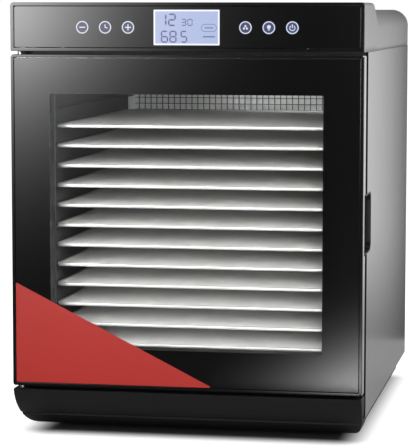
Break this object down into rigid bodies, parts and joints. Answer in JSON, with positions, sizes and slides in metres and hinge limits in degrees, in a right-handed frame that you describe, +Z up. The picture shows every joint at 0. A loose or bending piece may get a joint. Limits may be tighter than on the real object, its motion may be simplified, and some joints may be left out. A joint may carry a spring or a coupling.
{
  "type": "food dehydrator",
  "caption": "Cabinet food dehydrator with a touch-control head, a glazed side-hinged door, mesh trays on runners, and a rear fan and heater.",
  "frame": {"origin": "on the floor, under the middle of the object's box", "axes": "+Z up, -Y out of the door's face, +X to the right of someone facing the door"},
  "size_m": [0.418, 0.553, 0.518],
  "materials": {
    "silver_paint_moulding": "satin silver paint",
    "silver_paint_sheet": "satin silver paint",
    "gloss_black_moulding": "high gloss",
    "black_control_glass": "gloss, printed black behind",
    "black_door_glass": "gloss, black border with a clear window",
    "display": "backlit, pale violet blue",
    "circuit_board": "satin green",
    "satin_black_moulding": "satin",
    "black_sheet": "satin black paint",
    "stainless_sheet": "brushed",
    "tray_wire": "polished wire",
    "zinc_plated_steel": "zinc plated",
    "bright_steel": "bright",
    "aluminium_fan": "plain",
    "magnet": "matt",
    "silicone": "matt",
    "bush_plastic": "satin",
    "rubber_foot": "matt"
  },
  "bodies": {
    "root": {"top_housing": "silver_paint_moulding", "left_side_panel": "silver_paint_sheet", "right_side_panel": "silver_paint_sheet", "head_bezel": "gloss_black_moulding", "control_glass": "black_control_glass", "lcd_module": "display", "touch_board": "circuit_board", "control_board": "circuit_board", "power_board": "circuit_board", "base_cover": "satin_black_moulding", "base_pan": "satin_black_moulding", "front_frame": "satin_black_moulding", "finger_pocket": "satin_black_moulding", "power_inlet": "satin_black_moulding", "rear_cover": "black_sheet", "liner_left": "stainless_sheet", "liner_right": "stainless_sheet", "liner_top": "stainless_sheet", "liner_bottom": "stainless_sheet", "rear_grille": "stainless_sheet", "fan_shroud": "zinc_plated_steel", "motor_bracket": "zinc_plated_steel", "fan_motor": "zinc_plated_steel", "thermal_cutout": "zinc_plated_steel", "catch_plate": "zinc_plated_steel", "hinge_upper": "zinc_plated_steel", "hinge_lower": "zinc_plated_steel", "heating_element": "bright_steel", "temperature_sensor": "bright_steel", "foot_front_left": "rubber_foot", "foot_front_right": "rubber_foot", "foot_rear_left": "rubber_foot", "foot_rear_right": "rubber_foot"},
    "door": {"door_frame": "silver_paint_moulding", "door_bezel": "gloss_black_moulding", "door_glass": "black_door_glass", "door_inner_frame": "satin_black_moulding", "door_magnet": "magnet", "door_gasket": "silicone", "door_bush_upper": "bush_plastic", "door_bush_lower": "bush_plastic"},
    "fan": {"fan_impeller": "aluminium_fan", "motor_shaft": "bright_steel"},
    "tray_01_body": {"tray_01": "tray_wire"},
    "tray_02_body": {"tray_02": "tray_wire"},
    "tray_03_body": {"tray_03": "tray_wire"},
    "tray_04_body": {"tray_04": "tray_wire"},
    "tray_05_body": {"tray_05": "tray_wire"},
    "tray_06_body": {"tray_06": "tray_wire"},
    "tray_07_body": {"tray_07": "tray_wire"},
    "tray_08_body": {"tray_08": "tray_wire"},
    "tray_09_body": {"tray_09": "tray_wire"},
    "tray_10_body": {"tray_10": "tray_wire"},
    "tray_11_body": {"tray_11": "tray_wire"},
    "tray_12_body": {"tray_12": "tray_wire"},
    "tray_13_body": {"tray_13": "tray_wire"},
    "tray_14_body": {"tray_14": "tray_wire"}
  },
  "joints": [
    {"name": "door_hinge", "type": "hinge", "parent": "root", "child": "door", "pos_m": [-0.201, -0.26325, 0.26], "axis": [0, 0, -1], "range_deg": [0, 170]},
    {"name": "fan_spin", "type": "hinge", "parent": "root", "child": "fan", "pos_m": [0, 0.2053, 0.257], "axis": [0, 1, 0], "continuous": true},
    {"name": "tray_01_slide", "type": "slide", "parent": "root", "child": "tray_01_body", "axis": [0, -1, 0], "range_m": [0, 0.3]},
    {"name": "tray_02_slide", "type": "slide", "parent": "root", "child": "tray_02_body", "axis": [0, -1, 0], "range_m": [0, 0.3]},
    {"name": "tray_03_slide", "type": "slide", "parent": "root", "child": "tray_03_body", "axis": [0, -1, 0], "range_m": [0, 0.3]},
    {"name": "tray_04_slide", "type": "slide", "parent": "root", "child": "tray_04_body", "axis": [0, -1, 0], "range_m": [0, 0.3]},
    {"name": "tray_05_slide", "type": "slide", "parent": "root", "child": "tray_05_body", "axis": [0, -1, 0], "range_m": [0, 0.3]},
    {"name": "tray_06_slide", "type": "slide", "parent": "root", "child": "tray_06_body", "axis": [0, -1, 0], "range_m": [0, 0.3]},
    {"name": "tray_07_slide", "type": "slide", "parent": "root", "child": "tray_07_body", "axis": [0, -1, 0], "range_m": [0, 0.3]},
    {"name": "tray_08_slide", "type": "slide", "parent": "root", "child": "tray_08_body", "axis": [0, -1, 0], "range_m": [0, 0.3]},
    {"name": "tray_09_slide", "type": "slide", "parent": "root", "child": "tray_09_body", "axis": [0, -1, 0], "range_m": [0, 0.3]},
    {"name": "tray_10_slide", "type": "slide", "parent": "root", "child": "tray_10_body", "axis": [0, -1, 0], "range_m": [0, 0.3]},
    {"name": "tray_11_slide", "type": "slide", "parent": "root", "child": "tray_11_body", "axis": [0, -1, 0], "range_m": [0, 0.3]},
    {"name": "tray_12_slide", "type": "slide", "parent": "root", "child": "tray_12_body", "axis": [0, -1, 0], "range_m": [0, 0.3]},
    {"name": "tray_13_slide", "type": "slide", "parent": "root", "child": "tray_13_body", "axis": [0, -1, 0], "range_m": [0, 0.3]},
    {"name": "tray_14_slide", "type": "slide", "parent": "root", "child": "tray_14_body", "axis": [0, -1, 0], "range_m": [0, 0.3]}
  ],
  "couplings": [
    {"joint": "tray_01_slide", "follows": "door_hinge", "m_per_rad": 0.013},
    {"joint": "tray_02_slide", "follows": "door_hinge", "m_per_rad": 0.01546},
    {"joint": "tray_03_slide", "follows": "door_hinge", "m_per_rad": 0.01792},
    {"joint": "tray_04_slide", "follows": "door_hinge", "m_per_rad": 0.02038},
    {"joint": "tray_05_slide", "follows": "door_hinge", "m_per_rad": 0.02285},
    {"joint": "tray_06_slide", "follows": "door_hinge", "m_per_rad": 0.02531},
    {"joint": "tray_07_slide", "follows": "door_hinge", "m_per_rad": 0.02777},
    {"joint": "tray_08_slide", "follows": "door_hinge", "m_per_rad": 0.03023},
    {"joint": "tray_09_slide", "follows": "door_hinge", "m_per_rad": 0.03269},
    {"joint": "tray_10_slide", "follows": "door_hinge", "m_per_rad": 0.03515},
    {"joint": "tray_11_slide", "follows": "door_hinge", "m_per_rad": 0.03762},
    {"joint": "tray_12_slide", "follows": "door_hinge", "m_per_rad": 0.04008},
    {"joint": "tray_13_slide", "follows": "door_hinge", "m_per_rad": 0.04254},
    {"joint": "tray_14_slide", "follows": "door_hinge", "m_per_rad": 0.045}
  ]
}
